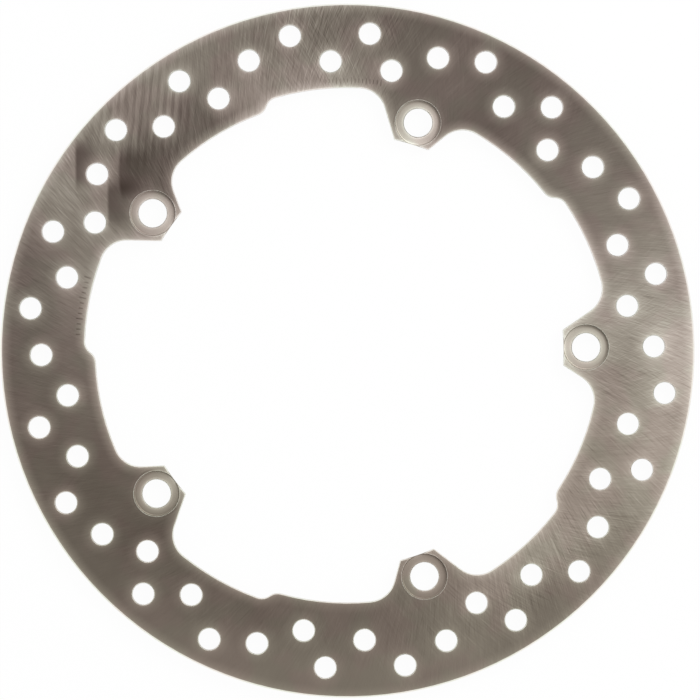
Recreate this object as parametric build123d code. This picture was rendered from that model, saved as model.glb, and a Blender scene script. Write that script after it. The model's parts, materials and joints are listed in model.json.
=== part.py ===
from build123d import *

import math
import os

# One-piece brake disc for a motorcycle, lying flat, in millimetres and degrees.
# Z is the axis it turns about, the hub side is the face at Z = 0, and the first lug points along +X.

# Friction ring
disc_diameter = 256.0
disc_thickness = 6.0
ring_width = 31.0  # from the rim to the hub opening, where the opening is widest
rim_chamfer = 0.5
edge_break = 0.3  # the deburred edge of the hub opening and of every hole

# Hub opening: after each lug it is wide, and it steps in to its narrow part before the next one
step_depth = 4.0
step_angle = 35.5  # from a lug's middle to the middle of the step that follows it
step_round = 5.0  # radius of both arcs of the step

# Lugs
lug_count = 5
bolt_circle_inset = 9.0  # from the widest part of the opening in to the bolt circle
lug_tip_wall = 8.25  # from the bolt circle in to the lugs' tips, which centre the disc on its hub
lug_side_wall = 1.8  # from the counterbore out to the lug's straight flanks
lug_flare = 34.0  # between each flank and the lug's middle line
lug_root_round = 10.0
lug_corner_round = 0.6

# Bolt holes, for a shouldered M8 disc bolt, with a counterbore for its head on the outer face
bolt_hole_diameter = 10.5
counterbore_diameter = 16.8
counterbore_depth = 1.0
counterbore_floor_round = 0.6
counterbore_edge_break = 0.15

# Drilled holes: a staggered pattern between an outer and an inner row, repeated round the ring
drilled_hole_diameter = 8.0
outer_row_inset = 10.0  # from the rim in to the middles of the outer row
inner_row_inset = 7.5  # from the widest part of the opening out to the middles of the inner row
repeats_per_lug = 2
# Each hole's way round the repeat, and its way in from the outer row to the inner one, as shares
drilled_pattern = [(0.0, 0.37), (0.23, 1.0), (0.366, 0.06), (0.571, 0.82), (0.766, 0.0)]

# Places worked out from the sizes above
disc_radius = disc_diameter / 2
wide_radius = disc_radius - ring_width
narrow_radius = wide_radius - step_depth
bolt_circle_radius = wide_radius - bolt_circle_inset
lug_tip_radius = bolt_circle_radius - lug_tip_wall
outer_row_radius = disc_radius - outer_row_inset
inner_row_radius = wide_radius + inner_row_inset
lug_pitch = 360 / lug_count


def polar(radius, angle):
    """The point at this radius and angle about the disc's axis."""
    return Vector(radius, 0).rotate(Axis.Z, angle)


def at_each_lug(point):
    """The point that lies the same way on every lug as this one does on the first."""
    return [point.rotate(Axis.Z, number * lug_pitch) for number in range(lug_count)]


def flank_point(radius, side):
    """Where the first lug's left (1) or right (-1) flank is at this radius."""
    along, across = polar(1, lug_flare), polar(1, lug_flare + 90)
    from_axis = across.dot(polar(bolt_circle_radius, 0)) + counterbore_diameter / 2 + lug_side_wall
    point = across * from_axis + along * math.sqrt(radius**2 - from_axis**2)
    return Vector(point.X, side * point.Y)


def arc_about(centre, start, end):
    """The shorter arc about a centre from one point to another."""
    reach = (start - centre).length
    middle = centre + ((start + end) * 0.5 - centre).normalized() * reach
    return ThreePointArc(start, middle, end)


def stepped_opening():
    """The hub opening before its lugs: wide and narrow arcs with an S-shaped step between them."""
    outer = wide_radius - step_round
    inner = narrow_radius + step_round
    apart = 2 * step_round
    swing = math.degrees(math.acos((outer**2 + inner**2 - apart**2) / (2 * outer * inner)))
    lines = []
    for number in range(lug_count):
        start = number * lug_pitch
        end = start + lug_pitch
        step_start = start + step_angle - swing / 2
        step_end = start + step_angle + swing / 2
        first_centre, second_centre = polar(outer, step_start), polar(inner, step_end)
        halfway = (first_centre + second_centre) * 0.5
        lines += [
            CenterArc((0, 0), wide_radius, start, step_start - start),
            arc_about(first_centre, polar(wide_radius, step_start), halfway),
            arc_about(second_centre, halfway, polar(narrow_radius, step_end)),
            CenterArc((0, 0), narrow_radius, step_end, end - step_end),
            Line(polar(narrow_radius, end), polar(wide_radius, end)),
        ]
    return make_face(lines)


def lug():
    """The first lug, from its tip to inside the ring."""
    root_radius = (disc_radius + wide_radius) / 2
    left_tip, right_tip = flank_point(lug_tip_radius, 1), flank_point(lug_tip_radius, -1)
    sides = Polyline(left_tip, flank_point(root_radius, 1), flank_point(root_radius, -1), right_tip)
    return make_face([sides, ThreePointArc(right_tip, polar(lug_tip_radius, 0), left_tip)])


def rounded(face, points, radius):
    """The face with its corners nearest to these points rounded."""
    return fillet([face.vertices().sort_by_distance(point)[0] for point in points], radius)


def hub_opening():
    """The outline inside the ring, with its lugs, their roots and their tips' corners."""
    opening = stepped_opening()
    for number in range(lug_count):
        opening -= Rot(0, 0, number * lug_pitch) * lug()
    roots = at_each_lug(flank_point(wide_radius, 1)) + at_each_lug(flank_point(narrow_radius, -1))
    opening = rounded(opening, roots, lug_root_round)
    tips = at_each_lug(flank_point(lug_tip_radius, 1)) + at_each_lug(flank_point(lug_tip_radius, -1))
    return rounded(opening, tips, lug_corner_round)


def outlines(plate, place):
    """The edges of the outer (0) or of the next (1) outline of the plate's two flat faces."""
    faces = plate.faces().sort_by(Axis.Z)
    wires = [([face.outer_wire()] + face.inner_wires())[place] for face in (faces[0], faces[-1])]
    return [edge for wire in wires for edge in wire.edges()]


def blank():
    """The disc without its holes, with its rim chamfered and the hub opening deburred."""
    plate = extrude(Circle(disc_radius) - hub_opening(), amount=disc_thickness)
    plate = chamfer(outlines(plate, 0), rim_chamfer)
    return chamfer(outlines(plate, 1), edge_break)


def counterbore():
    """The cutter for one counterbore, with its floor at Z = 0 and its mouth at the outer face."""
    radius = counterbore_diameter / 2
    bore = Cylinder(radius, counterbore_depth, align=(Align.CENTER, Align.CENTER, Align.MIN))
    bore = fillet(bore.edges().sort_by(Axis.Z)[0], counterbore_floor_round)
    mouth = Cone(radius, radius + counterbore_edge_break, counterbore_edge_break,
                 align=(Align.CENTER, Align.CENTER, Align.MAX))
    return bore + Pos(0, 0, counterbore_depth) * mouth


def hole(diameter, depth):
    """The cutter for one through hole, from Z = 0 up, with its edges broken at both ends."""
    radius = diameter / 2
    wall = Cylinder(radius, depth, align=(Align.CENTER, Align.CENTER, Align.MIN))
    low = Cone(radius + edge_break, radius, edge_break, align=(Align.CENTER, Align.CENTER, Align.MIN))
    high = Cone(radius, radius + edge_break, edge_break, align=(Align.CENTER, Align.CENTER, Align.MAX))
    return wall + low + Pos(0, 0, depth) * high


def bolt_cutters():
    """A hole and its counterbore at every lug."""
    floor = disc_thickness - counterbore_depth
    cutters = []
    for place in at_each_lug(polar(bolt_circle_radius, 0)):
        cutters.append(Pos(place.X, place.Y, 0) * hole(bolt_hole_diameter, floor))
        cutters.append(Pos(place.X, place.Y, floor) * counterbore())
    return cutters


def drilled_cutters():
    """The drilled holes, all through the ring."""
    repeats = lug_count * repeats_per_lug
    cutters = []
    for number in range(repeats):
        for round_share, in_share in drilled_pattern:
            radius = outer_row_radius + in_share * (inner_row_radius - outer_row_radius)
            place = polar(radius, (number + round_share) * 360 / repeats)
            cutters.append(Pos(place.X, place.Y, 0) * hole(drilled_hole_diameter, disc_thickness))
    return cutters


brake_disc = blank() - bolt_cutters() - drilled_cutters()

os.makedirs("parts", exist_ok=True)
export_step(brake_disc, "parts/brake_disc.step")
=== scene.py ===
import json
import math

import bpy
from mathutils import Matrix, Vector


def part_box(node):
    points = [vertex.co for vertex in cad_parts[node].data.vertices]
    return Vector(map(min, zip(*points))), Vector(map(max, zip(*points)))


# The looks of a one-piece brake disc that lies flat with its counterbored face up, in metres.
# Inside the finishes, places on the disc are in millimetres from its axis, angles about that axis are
# counted from the first lug, and greys run from 0 to 255.

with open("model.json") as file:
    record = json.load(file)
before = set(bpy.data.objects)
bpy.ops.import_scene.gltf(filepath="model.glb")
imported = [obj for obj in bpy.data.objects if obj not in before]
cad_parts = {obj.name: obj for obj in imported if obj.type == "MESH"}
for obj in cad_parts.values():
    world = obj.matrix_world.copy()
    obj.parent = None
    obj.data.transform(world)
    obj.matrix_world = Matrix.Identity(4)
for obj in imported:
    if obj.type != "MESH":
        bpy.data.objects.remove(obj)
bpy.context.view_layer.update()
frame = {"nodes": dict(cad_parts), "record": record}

MM = 0.001
TURN = 2 * math.pi
FULL_TURN_DEGREES = 360
LIGHTEST_GREY = 255
WHITE = (1, 1, 1, 1)


# ---------------------------------------------------------------- sizes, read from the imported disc

disc_low, disc_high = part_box("brake_disc")
rim_radius = (disc_high.x - disc_low.x) / 2 / MM
thickness = (disc_high.z - disc_low.z) / MM
bolt_circle = next(mount["dims"] for mount in frame["record"]["mounts"] if mount["name"] == "bolt_circle")
lug_radius = bolt_circle["pcd_mm"] / 2
lug_count = bolt_circle["count"]


# ---------------------------------------------------------------- shader maths

# A Mix node's sockets, its factor and the two that it mixes, for numbers and for colours, and the output
# that gives a colour
MIX_NUMBERS = (0, 2, 3)
MIX_COLOURS = (0, 6, 7)
MIX_COLOUR_OUT = 2


class Wire:
    """One socket of a finish. Arithmetic on wires adds the Math nodes that work it out."""

    def __init__(self, finish, socket):
        self.finish = finish
        self.socket = socket

    def __add__(self, other):
        return self.finish.maths("ADD", self, other)

    def __sub__(self, other):
        return self.finish.maths("SUBTRACT", self, other)

    def __rsub__(self, other):
        return self.finish.maths("SUBTRACT", other, self)

    def __mul__(self, other):
        return self.finish.maths("MULTIPLY", self, other)

    def __truediv__(self, other):
        return self.finish.maths("DIVIDE", self, other)

    def __rtruediv__(self, other):
        return self.finish.maths("DIVIDE", other, self)

    def __pow__(self, other):
        return self.finish.maths("POWER", self, other)

    __radd__ = __add__
    __rmul__ = __mul__


class Finish:
    """A node tree that is filled by expressions."""

    def __init__(self, tree):
        self.tree = tree
        tree.nodes.clear()

    def node(self, kind, settings=None, sockets=None, output=0):
        """Adds a node, applies its settings and then its sockets' values or links, and gives one output."""
        node = self.tree.nodes.new(kind)
        for name, value in (settings or {}).items():
            if name == "stops":
                self.set_stops(node.color_ramp, value)
            elif name == "interpolation":
                node.color_ramp.interpolation = value
            else:
                setattr(node, name, value)
        for name, value in (sockets or {}).items():
            if isinstance(value, Wire):
                self.tree.links.new(value.socket, node.inputs[name])
            else:
                node.inputs[name].default_value = value
        return Wire(self, node.outputs[output]) if node.outputs else node

    @staticmethod
    def set_stops(ramp, stops):
        """Gives a colour ramp these stops, each a position with a grey or a colour."""
        while len(ramp.elements) > 1:
            ramp.elements.remove(ramp.elements[-1])
        for number, (position, colour) in enumerate(stops):
            stop = ramp.elements[0] if number == 0 else ramp.elements.new(position)
            stop.position = position
            stop.color = (colour, colour, colour, 1) if isinstance(colour, float) else (*colour, 1)

    def maths(self, operation, *values, clamp=False):
        return self.node("ShaderNodeMath", {"operation": operation, "use_clamp": clamp},
                         dict(enumerate(values)))

    def join(self, x, y, z):
        return self.node("ShaderNodeCombineXYZ", {}, {"X": x, "Y": y, "Z": z})

    def rise(self, value, low, high):
        """0 below low and 1 above high, with a smooth rise between, or a fall where low is the higher."""
        return self.node("ShaderNodeMapRange", {"interpolation_type": "SMOOTHSTEP"},
                         {"Value": value, "From Min": low, "From Max": high})

    def noise(self, place, scale=1.0, detail=2.0, roughness=0.5):
        """Cloudy noise from 0 to 1."""
        return self.node("ShaderNodeTexNoise", {}, {"Vector": place, "Scale": scale, "Detail": detail,
                                                    "Roughness": roughness})

    def swing(self, place, scale=1.0, detail=2.0, roughness=0.5):
        """Cloudy noise as much below 0 as above it."""
        return self.noise(place, scale, detail, roughness) - 0.5

    def ramp(self, value, stops, interpolation="LINEAR"):
        return self.node("ShaderNodeValToRGB", {"stops": stops, "interpolation": interpolation},
                         {"Fac": value})

    def blend(self, share, first, second, mode="MIX"):
        """Two colours mixed by a share."""
        return self.node("ShaderNodeMix", {"data_type": "RGBA", "blend_type": mode},
                         dict(zip(MIX_COLOURS, (share, first, second))), output=MIX_COLOUR_OUT)

    def fade(self, share, first, second):
        """Two numbers mixed by a share."""
        return self.node("ShaderNodeMix", {"data_type": "FLOAT"},
                         dict(zip(MIX_NUMBERS, (share, first, second))))


# The sRGB curve, which is straight up to its toe's end
TOE_END = 0.04045
TOE_SLOPE = 12.92
CURVE_OFFSET = 0.055
CURVE_POWER = 2.4


def linear(*srgb):
    """A colour given as it looks, from 0 to 255, as the shader takes it."""
    shares = [value / LIGHTEST_GREY for value in srgb]
    return tuple(share / TOE_SLOPE if share <= TOE_END
                 else ((share + CURVE_OFFSET) / (1 + CURVE_OFFSET)) ** CURVE_POWER for share in shares)


# ---------------------------------------------------------------- ground steel: its look round the disc

# Painted sheen: how light the ground face is beside the hub opening and beside the rim, lighter where the
# grinding lay would catch the lamp and darker where it would not: degrees and a grey
SHEEN_INSIDE = [(-180, 105), (-160, 95), (-145, 91), (-115, 98), (-78, 105), (-50, 142), (-15, 133),
              (8, 143), (30, 112), (58, 92), (75, 99), (92, 130), (108, 132), (122, 94), (135, 91),
              (148, 123), (163, 127)]
SHEEN_OUTSIDE = [(-180, 97), (-150, 95), (-105, 111), (-72, 115), (-55, 110), (-40, 125), (-15, 151),
               (1, 164), (14, 131), (30, 107), (55, 92), (78, 96), (100, 110), (122, 120), (136, 117),
               (149, 133), (165, 105)]
SHEEN_TURN = (27, 8)  # in from the rim, where the one begins to turn into the other, and where it has
LAY_CLOUDS = 0.05  # fineness
LAY_CLOUD_GREYS = 20

# How light the counterbores' floors are, lug by lug, lighter on the lugs towards the lamp as a painted
# highlight
SEAT_GREYS_AND_SHEEN = [(-144, 119), (-72, 123), (0, 151), (72, 145), (144, 141)]

# How strongly the painted glow beside the edges shows round the disc, from 0 to 1
EDGE_GLOW_ROUND = [(-180, 0.94), (-150, 0.88), (-120, 0.6), (-90, 0.38), (-60, 0.47), (-30, 0.53), (0, 0.66),
        (30, 0.94), (60, 1.0), (90, 0.84), (120, 0.94), (150, 0.72)]

# How strongly the scratches show, from 0 to 1
SCRATCHED = [(-180, 0.28), (-150, 0.2), (-110, 0.25), (-88, 0.22), (-74, 0.42), (-46, 0.86), (-25, 0.58),
             (4, 0.88), (25, 0.3), (50, 0.22), (74, 0.2), (84, 0.6), (94, 0.95), (118, 0.64), (148, 0.88),
             (168, 0.5)]

# How strong the second, crossing family of scratches is beside the first
CROSSED = [(-180, 0.4), (-100, 0.5), (-70, 0.95), (-30, 0.9), (0, 0.7), (25, 0.4), (78, 0.8), (95, 0.8),
           (112, 0.3), (130, 0.15), (160, 0.35)]

# Steel from its darkest to its lightest, as greys with the tint that they have
STEEL = [(60, (65, 56, 50)), (80, (86, 76, 70)), (100, (108, 98, 91)), (125, (134, 124, 115)),
         (155, (165, 155, 146)), (190, (199, 191, 181)), (225, (231, 227, 218)), (250, (252, 250, 246))]

# Patches a little greener or pinker than that, and low on the disc a little warmer
GREENER = (0.965, 1.0, 0.975, 1)
PINKER = (1.0, 0.975, 0.985, 1)
WARMER = (1.0, 1.0, 0.962, 1)
TINT_PATCHES = 0.07
TINT_EDGE = (0.4, 0.6)
WARMING = (40, -60)  # from this height down to this one


# ---------------------------------------------------------------- ground steel: the marks of its making

# The passes of the grinding wheel, each leaning this far from the radius in degrees, and its fineness
PASSES = [(-29, 3.4), (-24, 3.9), (-18, 3.3), (-11, 3.0)]
CROSSING_PASSES = [(19, 3.3), (28, 3.0)]
PASS_ROUGHNESS = 0.6
PASS_GREYS = 32
CROSSING_GREYS = 44
SCRATCH_STRETCH = 0.03  # how fast the pattern changes along a scratch
RING_MIDDLE = 0.87 * rim_radius  # where the scratches are as fine as stated

# Single hairlines among them: their lean, stretch and fineness
HAIRLINES = [(-27, 0.03, 4.0), (-19, 0.03, 3.6)]
CROSSING_HAIRLINE = (25, 0.04, 3.6)
HAIRLINE_GREYS = 16
HAIRLINE_DETAIL = 1.0
HAIRLINE_EDGE = (0.61, 0.71)

# Where scratches are faint or deep, and where the crossing ones are
FAINTEST = 0.4
UNEVENNESS = 1.2
UNEVEN_PATCHES = 0.35
FEWEST_CROSSED = 0.6
CROSSED_MORE = 0.8
CROSSED_PATCHES = 0.06
CROSSED_EDGE = (0.42, 0.62)

# Low on the disc, the scratches are fainter towards the rim
CALM_IN_FROM_RIM = (20, 6)
CALM_HEIGHT = (-85, -55)
CALM = 0.6

# The chatter on the upper left: its middle, where it begins to fade and where it has, its lean, and the
# pitch of its bands and how far they wander
CHATTER_MIDDLE = (-74, 91)
CHATTER_FADE = (11, 27)
CHATTER_LEAN = 0.1
BAND_PITCH = 2.9
BAND_WANDER = 4
BAND_EDGE = (-0.8, 0.4)
FAINTEST_BAND = 0.4
BAND_GREYS = 15
BLOTCH_GREYS = 26
STREAK_GREYS = 32

# The fineness across and along of the bands' wander, the blotches and the streaks, and a slice of noise
WANDER_NOISE = (0.1, 0.03, 0.0)
BLOTCH_NOISE = (0.3, 0.06, 3.0)
STREAK_NOISE = (1.8, 0.12, 5.0)

# Three passes of the wheel that lie over the rest on the upper left: how strong each is, its left edge, its
# lowest and highest height, how far it reaches to the right, and how its edge bends
DWELLS = [(1.1, -99.3, 61, 79, 12, 0.0), (0.7, -83.4, 57, 76, 18, 0.012), (0.95, -87.6, 46, 65, 15, 0.003)]
DWELL_BLUR = 0.7
DWELL_END_OUT = 2
DWELL_END_IN = 5
DWELL_GREYS = 41

# How far the dwells and the chatter wipe the scratches out
DWELL_WIPES = 0.9
CHATTER_WIPES = 0.6
WIPED_AT_MOST = 0.85

# Two rows of short generic ticks: the middle and span of each in degrees, and how many
TICK_ROWS = [(88, 12.6, 16), (169.6, 13.4, 12)]
TICK_RADIUS = 99.6
TICK_EDGE = (0.08, 0.16)  # from a tick's middle, as shares of their pitch
TICK_END = (0.7, 0.9)  # from the row's radius
LONG_TICK = 4  # every so many is long
LONG_TICK_MORE = 0.5
ROW_END = 0.01
TICK_GREYS = 26
TICK_DEPTH = 0.8


# ---------------------------------------------------------------- ground steel: its edges and seats

# A painted glow beside every edge, standing in for the white light that bleeds round it, and the thin bright
# line on it: twice its greys, its reach and its samples
GLOW = (88, 4.4, 12)
EDGE_GLOW_LINE = (68, 1.3, 8)

# How strong the painted edge glow is along the hub opening, less at the drilled holes, and more along the
# rim
GLOW_OPENING = 1.16
GLOW_HOLES_LESS = 0.36
GLOW_RIM_MORE = 0.25
HOLES_BEGIN = (30, 26)  # in from the rim
HOLES_END = (6, 4)

# How flat a surface is when it begins to count and when it fully does, for the faces and for the chamfers
FACE_FLATNESS = (0.9, 0.97)
CHAMFER_FLATNESS = (0.3, 0.6)
OUTER_FACE = (0.4 * thickness, 0.6 * thickness)

# The counterbores, below the face and from the bolt hole's middle
BORE_TOP = (0.05, 0.2)
BORE_BOTTOM = (1.05, 1.3)
BORE_MOUTH = (8.8, 9.2)
BORE_WALL = (6.4, 6.9)
LIP_INSIDE = (7.2, 7.8)
LIP_OUTSIDE = (9.0, 9.6)
LIP_GLOW_LESS = 0.7  # how much less painted edge glow their lips get, but for where the lug's tip begins
TIP_BEGINS = (6, 0)  # in from the bolt circle

# Painted shade in the corner between a counterbore's floor and wall, on the lamp's side where the wall's
# shadow falls, the deeper the lighter its floor is
LAMP_WAY = (0.85, 0.53)
CORNER_SHADE = (6.7, 7.9)
CORNER_SHADE_LAMPWARD = (-0.3, 0.9)
CORNER_SHADE_DEPTH = 0.0042
CORNER_FROM_GREY = 100

# Turning marks on the counterbores' floors, and the cutter's marks on every wall and chamfer
TURNING_FINENESS = 5
TURNING_GREYS = 14
TURNING_HEIGHT = 0.4
CUTTER_FINENESS = (0.3, 0.3, 6)
CUTTER_DETAIL = 3.0
CUTTER_GREYS = 36
CUTTER_HEIGHT = 6
CUT_GREY = 162
# The chamfers lighter than the walls: a painted highlight for the light that bleeds round their edges
CHAMFER_HIGHLIGHT = 76
SEAT_WALL_LIGHTER = 20
SEAT_WALL_GLOW = 0.45  # the share of the painted edge glow on the seat walls, at the lugs' tips

# How rough each surface is, and how much its marks change that
GROUND_ROUGH = 0.42
SEAT_ROUGHER = 0.1
SCRATCH_SMOOTHER = 0.05
CUT_ROUGH = 0.26
SEAT_WALL_ROUGH = 0.55
CUTTER_ROUGHER = 0.1
SCRATCH_GREYS_PER_HEIGHT = 30
BUMP_STRENGTH = 0.25
BUMP_HEIGHT = 0.02 * MM


class GroundSteel(Finish):
    """The ground, milled and cut faces of the disc."""

    def __init__(self, material):
        material.use_nodes = True
        super().__init__(material.node_tree)
        place = self.node("ShaderNodeTexCoord", output="Object")
        self.x, self.y, self.z = (self.part(place, axis) / MM for axis in "XYZ")
        self.place = self.join(self.x, self.y, self.z)
        self.radius = (self.x * self.x + self.y * self.y) ** 0.5
        self.angle = self.maths("ARCTAN2", self.y, self.x)
        facing = self.node("ShaderNodeTexCoord", output="Normal")
        self.flatness = self.maths("ABSOLUTE", self.part(facing, "Z"))

    def part(self, vector, axis):
        return self.node("ShaderNodeSeparateXYZ", {}, {"Vector": vector}, output=axis)

    def past(self, band):
        """0 further in from the rim than the band's first distance, and 1 nearer to it than its second."""
        return self.rise(self.radius, *(rim_radius - distance for distance in band))

    def round_the_disc(self, stops):
        """A ramp over the angle about the axis, given in degrees, closed where it meets itself."""
        shares = [(degrees / FULL_TURN_DEGREES + 0.5, value) for degrees, value in stops]
        return self.ramp(self.angle / TURN + 0.5, shares + [(1.0, shares[0][1])], "EASE")

    def greys_round_the_disc(self, stops):
        shares = [(degrees, grey / LIGHTEST_GREY) for degrees, grey in stops]
        return LIGHTEST_GREY * self.round_the_disc(shares)

    def spiral(self, lean, stretch):
        """Places for noise that runs along spirals leaning this far from the radius, in degrees."""
        swept = self.angle - math.tan(math.radians(lean)) * self.maths("LOGARITHM", self.radius, math.e)
        return self.join(RING_MIDDLE * self.maths("COSINE", swept), RING_MIDDLE * self.maths("SINE", swept),
                         self.radius * stretch)

    def hairlines(self, lean, stretch, fineness):
        """Long thin scratches: light ones less dark ones, from -1 to 1."""
        field = self.noise(self.spiral(lean, stretch), fineness, HAIRLINE_DETAIL)
        return self.rise(field, *HAIRLINE_EDGE) - self.rise(1 - field, *HAIRLINE_EDGE)

    def grain(self, passes):
        """Fine lines that all the passes leave together, about 0."""
        lines = [self.swing(self.spiral(lean, SCRATCH_STRETCH), fineness, roughness=PASS_ROUGHNESS)
                 for lean, fineness in passes]
        return sum(lines[1:], lines[0])

    def scratches(self):
        """Two crossing families of scratches, the clockwise one the stronger."""
        patches = self.rise(self.noise(self.place, CROSSED_PATCHES), *CROSSED_EDGE)
        crossed = (FEWEST_CROSSED + CROSSED_MORE * patches) * self.round_the_disc(CROSSED)
        uneven = FAINTEST + UNEVENNESS * self.noise(self.place, UNEVEN_PATCHES)
        lines = crossed * self.hairlines(*CROSSING_HAIRLINE)
        for hairline in HAIRLINES:
            lines = lines + self.hairlines(*hairline)
        return uneven * (PASS_GREYS * self.grain(PASSES) + HAIRLINE_GREYS * lines
                         + CROSSING_GREYS * crossed * self.grain(CROSSING_PASSES))

    def upright(self, across, fineness_across, fineness_along, part):
        """Places for noise that runs up the disc."""
        return self.join(across * fineness_across, self.y * fineness_along, part)

    def chatter(self):
        """Where the wheel left upright bands and streaks on the upper left, and how light they are."""
        middle_x, middle_y = CHATTER_MIDDLE
        aside, above = self.x - middle_x, self.y - middle_y
        from_middle = (aside * aside + above * above) ** 0.5
        across = self.x - CHATTER_LEAN * self.y
        wander = BAND_WANDER * self.noise(self.upright(self.x, *WANDER_NOISE))
        wave = self.maths("SINE", (across + wander) * TURN / BAND_PITCH)
        bands = 2 * self.rise(wave, *BAND_EDGE) - 1
        blotches = self.swing(self.upright(across, *BLOTCH_NOISE))
        streaks = self.swing(self.upright(across, *STREAK_NOISE))
        greys = (BAND_GREYS * bands * (FAINTEST_BAND + blotches) + BLOTCH_GREYS * blotches
                 + STREAK_GREYS * streaks)
        return 1 - self.rise(from_middle, *CHATTER_FADE), greys

    def dwell(self, strength, left, low, high, reach, bend):
        """Where one pass of the wheel begins over another: sharp on its left, fading to the right."""
        above_middle = self.y - (low + high) / 2
        edge = self.x - left - bend * above_middle * above_middle
        tall = (self.rise(self.y, low - DWELL_END_OUT, low + DWELL_END_IN)
                * (1 - self.rise(self.y, high - DWELL_END_IN, high + DWELL_END_OUT)))
        return strength * (self.rise(edge, -DWELL_BLUR, DWELL_BLUR) * (1 - self.rise(edge, 0, reach)) * tall)

    def tone_and_sheen(self):
        """The ground face's grey before its scratches: random clouds over the painted sheen round the disc.
        """
        clouds = LAY_CLOUD_GREYS * self.swing(self.place, LAY_CLOUDS)
        return clouds + self.fade(self.past(SHEEN_TURN), self.greys_round_the_disc(SHEEN_INSIDE),
                                  self.greys_round_the_disc(SHEEN_OUTSIDE))

    def ticks(self, middle, span, count):
        """A row of short generic ticks along an arc, in degrees about the axis."""
        along = (self.angle * FULL_TURN_DEGREES / TURN - middle) / span + 0.5
        inside = self.rise(along, 0, ROW_END) * (1 - self.rise(along, 1 - ROW_END, 1))
        beat = self.maths("ABSOLUTE", self.maths("FRACT", along * count) - 0.5)
        long = self.maths("LESS_THAN", self.maths("FRACT", along * count / LONG_TICK), 1 / LONG_TICK)
        far = self.maths("ABSOLUTE", self.radius - TICK_RADIUS) - LONG_TICK_MORE * long
        return inside * (1 - self.rise(beat, *TICK_EDGE)) * (1 - self.rise(far, *TICK_END))

    def seat(self):
        """The distance from the nearest bolt hole's middle, and how squarely that way faces the lamp."""
        pitch = TURN / lug_count
        middle = self.angle - self.maths("WRAP", self.angle, pitch / 2, -pitch / 2)
        x = self.x - lug_radius * self.maths("COSINE", middle)
        y = self.y - lug_radius * self.maths("SINE", middle)
        distance = (x * x + y * y) ** 0.5
        return distance, (LAMP_WAY[0] * x + LAMP_WAY[1] * y) / distance

    def glow_beside_edge(self, greys, distance, samples):
        """Painted glow of up to half these greys beside an outward edge, and none this far from it, in
        millimetres.
        """
        return greys * (1 - self.node("ShaderNodeAmbientOcclusion",
                                      {"inside": True, "only_local": True, "samples": samples},
                                      {"Distance": distance * MM}, output="AO"))

    def colour(self, grey):
        """Steel of this grey, with its warm tint, a little greener or pinker by patches."""
        stops = [(value / LIGHTEST_GREY, linear(*shown)) for value, shown in STEEL]
        steel = self.ramp(grey / LIGHTEST_GREY, stops)
        tint = self.blend(self.rise(self.noise(self.place, TINT_PATCHES), *TINT_EDGE), GREENER, PINKER)
        tinted = self.blend(1.0, steel, tint, "MULTIPLY")
        return self.blend(self.rise(self.y, *WARMING), tinted, self.blend(1.0, tinted, WARMER, "MULTIPLY"))

    def ground(self):
        """The grey of the ground face, and how high its scratches and ticks stand."""
        outer_face = self.rise(self.z, *OUTER_FACE)
        dwells = [self.dwell(*dwell) for dwell in DWELLS]
        dwelt = outer_face * sum(dwells[1:], dwells[0])
        chatter_here, chatter_greys = self.chatter()
        chattered = outer_face * chatter_here
        wiped = self.maths("MINIMUM", DWELL_WIPES * dwelt + CHATTER_WIPES * chattered, WIPED_AT_MOST)
        calm = self.past(CALM_IN_FROM_RIM) * (1 - self.rise(self.y, *CALM_HEIGHT))
        scratches = (1 - wiped) * (1 - CALM * calm) * self.round_the_disc(SCRATCHED) * self.scratches()
        rows = [self.ticks(*row) for row in TICK_ROWS]
        ticks = outer_face * sum(rows[1:], rows[0])
        grey = (self.tone_and_sheen() + scratches + chattered * chatter_greys - DWELL_GREYS * dwelt
                - TICK_GREYS * ticks)
        return grey, scratches / SCRATCH_GREYS_PER_HEIGHT - TICK_DEPTH * ticks

    def finish(self):
        ground, scratched = self.ground()
        face = self.rise(self.flatness, *FACE_FLATNESS)
        chamfered = self.rise(self.flatness, *CHAMFER_FLATNESS)
        below = thickness - self.z
        seat, lampward = self.seat()
        shallow = 1 - self.rise(below, *BORE_BOTTOM)
        floor = shallow * self.rise(below, *BORE_TOP) * (1 - self.rise(seat, *BORE_MOUTH))
        wall = floor * self.rise(seat, *BORE_WALL)
        lip = shallow * self.rise(seat, *LIP_INSIDE) * (1 - self.rise(seat, *LIP_OUTSIDE))
        outward = self.rise(self.radius, *(lug_radius - distance for distance in TIP_BEGINS))

        # Painted glow: the white light bleeding round every edge, painted as lighter steel beside it
        glow_strength = (GLOW_OPENING - GLOW_HOLES_LESS * self.past(HOLES_BEGIN)
                   + GLOW_RIM_MORE * self.past(HOLES_END))
        edge_glow = glow_strength * (self.glow_beside_edge(*GLOW) + self.glow_beside_edge(*EDGE_GLOW_LINE))
        edge_glow = edge_glow * self.round_the_disc(EDGE_GLOW_ROUND) * (1 - LIP_GLOW_LESS * lip * outward)

        turning = self.swing(self.join(seat * TURNING_FINENESS, 0.0, self.angle))
        # Painted shade: the counterbores' corners darkened on the lamp's side
        corner_shade = self.rise(seat, *CORNER_SHADE) * self.rise(lampward, *CORNER_SHADE_LAMPWARD)
        # The floors' grey, with a painted highlight on the lugs towards the lamp
        seat_grey_and_sheen = self.greys_round_the_disc(SEAT_GREYS_AND_SHEEN)
        shaded = 1 - CORNER_SHADE_DEPTH * corner_shade * (seat_grey_and_sheen - CORNER_FROM_GREY)
        milled = (seat_grey_and_sheen + TURNING_GREYS * turning) * shaded
        seat_wall = milled + self.fade(outward, SEAT_WALL_GLOW * edge_glow, SEAT_WALL_LIGHTER)

        cutter_place = (axis * fineness for axis, fineness in zip((self.x, self.y, self.z), CUTTER_FINENESS))
        cutter = self.swing(self.join(*cutter_place), detail=CUTTER_DETAIL)
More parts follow.
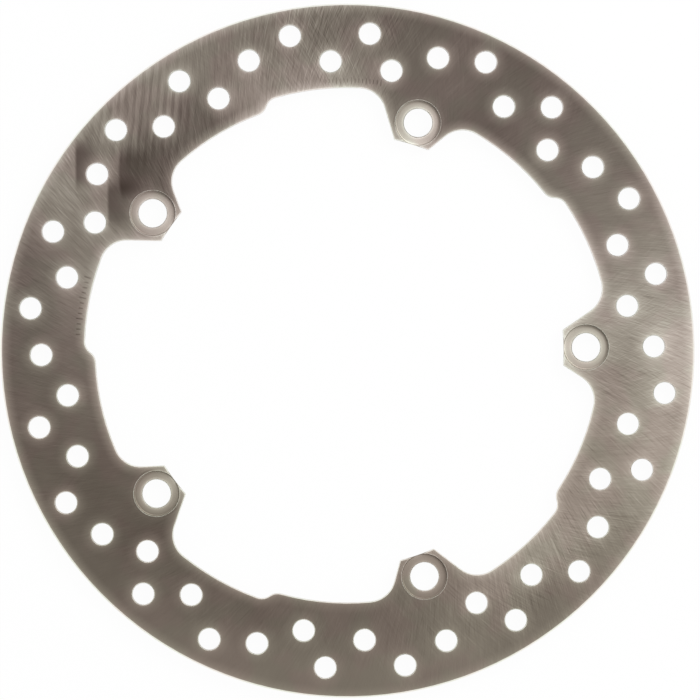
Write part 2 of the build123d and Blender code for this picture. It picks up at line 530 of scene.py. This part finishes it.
        # Walls and chamfers, the chamfers with a painted highlight
        cut = CUT_GREY + CUTTER_GREYS * cutter + CHAMFER_HIGHLIGHT * chamfered
        flat = self.fade(floor, ground, milled) + edge_glow
        grey = self.fade(face, self.fade(wall, cut, seat_wall), flat)

        side_rough = self.fade(wall, CUT_ROUGH, SEAT_WALL_ROUGH) + CUTTER_ROUGHER * cutter
        face_rough = GROUND_ROUGH + SEAT_ROUGHER * floor - SCRATCH_SMOOTHER * scratched
        face_height = self.fade(floor, scratched, TURNING_HEIGHT * turning)
        height = self.fade(face, CUTTER_HEIGHT * cutter, face_height)
        bump = self.node("ShaderNodeBump", {},
                         {"Strength": BUMP_STRENGTH, "Distance": BUMP_HEIGHT, "Height": height})
        shader = self.node("ShaderNodeBsdfPrincipled", {},
                           {"Base Color": self.colour(grey), "Metallic": 1.0,
                            "Roughness": self.fade(face, side_rough, face_rough), "Normal": bump})
        self.node("ShaderNodeOutputMaterial", {}, {"Surface": shader})


# ---------------------------------------------------------------- studio

# The world: its fill, and a dark flag low on the left that only the steel shows
FILL = 0.8
FLAG_WAY = Vector((-0.6, -0.5, 0.62)).normalized()
FLAG_EDGE = (0.84, 0.96)  # how squarely a ray has to point at the flag
FLAG_DARK = 0.85

# The table: its half width, how far it is under the disc, its paper and how much of it shows as white
TABLE_REACH = 20.0
TABLE_GAP = 0.05 * MM
PAPER = (0.95, 0.95, 0.95, 1)
TABLE_GLOW = 0.96

# The lamp, high on the right: its place, size and power
LAMP_PLACE = (0.6, 0.45, 0.8)
LAMP_SIZE = 0.6
LAMP_POWER = 4.0

# The camera: its height over the disc, how wide it sees, how far it stands aside and its roll in degrees
CAMERA_HEIGHT = 4.5
SEEN_WIDTH = 0.2582
CAMERA_ASIDE = (0.0009, 0.00023)
CAMERA_ROLL = -0.81
SENSOR_WIDTH = 36


def light_switch(tree):
    """1 for a ray from the camera, or from what a shiny or clear surface shows, and 0 for the rest."""
    camera, glossy, transmission = (tree.node("ShaderNodeLightPath", output=name) for name in
                                    ("Is Camera Ray", "Is Glossy Ray", "Is Transmission Ray"))
    return tree.maths("ADD", camera + glossy, transmission, clamp=True)


def white_world():
    """White to the eye and in the steel, but for a dark flag low on the left, and a soft fill besides."""
    world = bpy.data.worlds.new("studio_white")
    bpy.context.scene.world = world
    world.use_nodes = True
    tree = Finish(world.node_tree)
    direction = tree.node("ShaderNodeTexCoord", output="Generated")
    toward = tree.node("ShaderNodeVectorMath", {"operation": "DOT_PRODUCT"},
                       {0: direction, 1: FLAG_WAY}, output="Value")
    flag = tree.rise(toward, *FLAG_EDGE) * tree.node("ShaderNodeLightPath", output="Is Glossy Ray")
    strength = FILL + (1 - FILL) * light_switch(tree) - FLAG_DARK * flag
    sky = tree.node("ShaderNodeBackground", {}, {"Color": WHITE, "Strength": strength})
    tree.node("ShaderNodeOutputWorld", {}, {"Surface": sky})


def white_table():
    """A wide white table under the disc, which keeps a faint shadow."""
    mesh = bpy.data.meshes.new("table_top")
    low = disc_low.z - TABLE_GAP
    corners = [(x * TABLE_REACH, y * TABLE_REACH, low) for x, y in ((-1, -1), (1, -1), (1, 1), (-1, 1))]
    mesh.from_pydata(corners, [], [tuple(range(len(corners)))])
    table = bpy.data.objects.new("table_top", mesh)
    bpy.context.scene.collection.objects.link(table)
    material = bpy.data.materials.new("table_white")
    material.use_nodes = True
    tree = Finish(material.node_tree)
    paper = tree.node("ShaderNodeBsdfDiffuse", {}, {"Color": PAPER})
    glow = tree.node("ShaderNodeEmission", {}, {"Color": WHITE, "Strength": 1.0})
    mixed = tree.node("ShaderNodeMixShader", {}, {"Fac": TABLE_GLOW * light_switch(tree), 1: paper, 2: glow})
    tree.node("ShaderNodeOutputMaterial", {}, {"Surface": mixed})
    mesh.materials.append(material)


def soft_box():
    """A square area light that faces the disc."""
    lamp = bpy.data.lights.new("key_soft_box", "AREA")
    lamp.shape = "SQUARE"
    lamp.size = LAMP_SIZE
    lamp.energy = LAMP_POWER
    box = bpy.data.objects.new("key_soft_box", lamp)
    box.location = LAMP_PLACE
    box.rotation_euler = (-Vector(LAMP_PLACE)).to_track_quat("-Z", "Y").to_euler()
    box.visible_camera = False
    bpy.context.scene.collection.objects.link(box)


def overhead_camera():
    """A long lens straight above the disc."""
    data = bpy.data.cameras.new("overhead_camera")
    camera = bpy.data.objects.new("overhead_camera", data)
    data.sensor_width = SENSOR_WIDTH
    data.lens = SENSOR_WIDTH * CAMERA_HEIGHT / SEEN_WIDTH
    camera.location = (*CAMERA_ASIDE, disc_high.z + CAMERA_HEIGHT)
    camera.rotation_euler = (0, 0, math.radians(CAMERA_ROLL))
    bpy.context.scene.collection.objects.link(camera)
    bpy.context.scene.camera = camera


disc = frame["nodes"]["brake_disc"]
for steel_slot in disc.material_slots:
    steel = bpy.data.materials.new("ground_stainless")
    GroundSteel(steel).finish()
    steel_slot.material = steel

white_world()
white_table()
soft_box()
overhead_camera()
bpy.context.scene.view_settings.view_transform = "Standard"
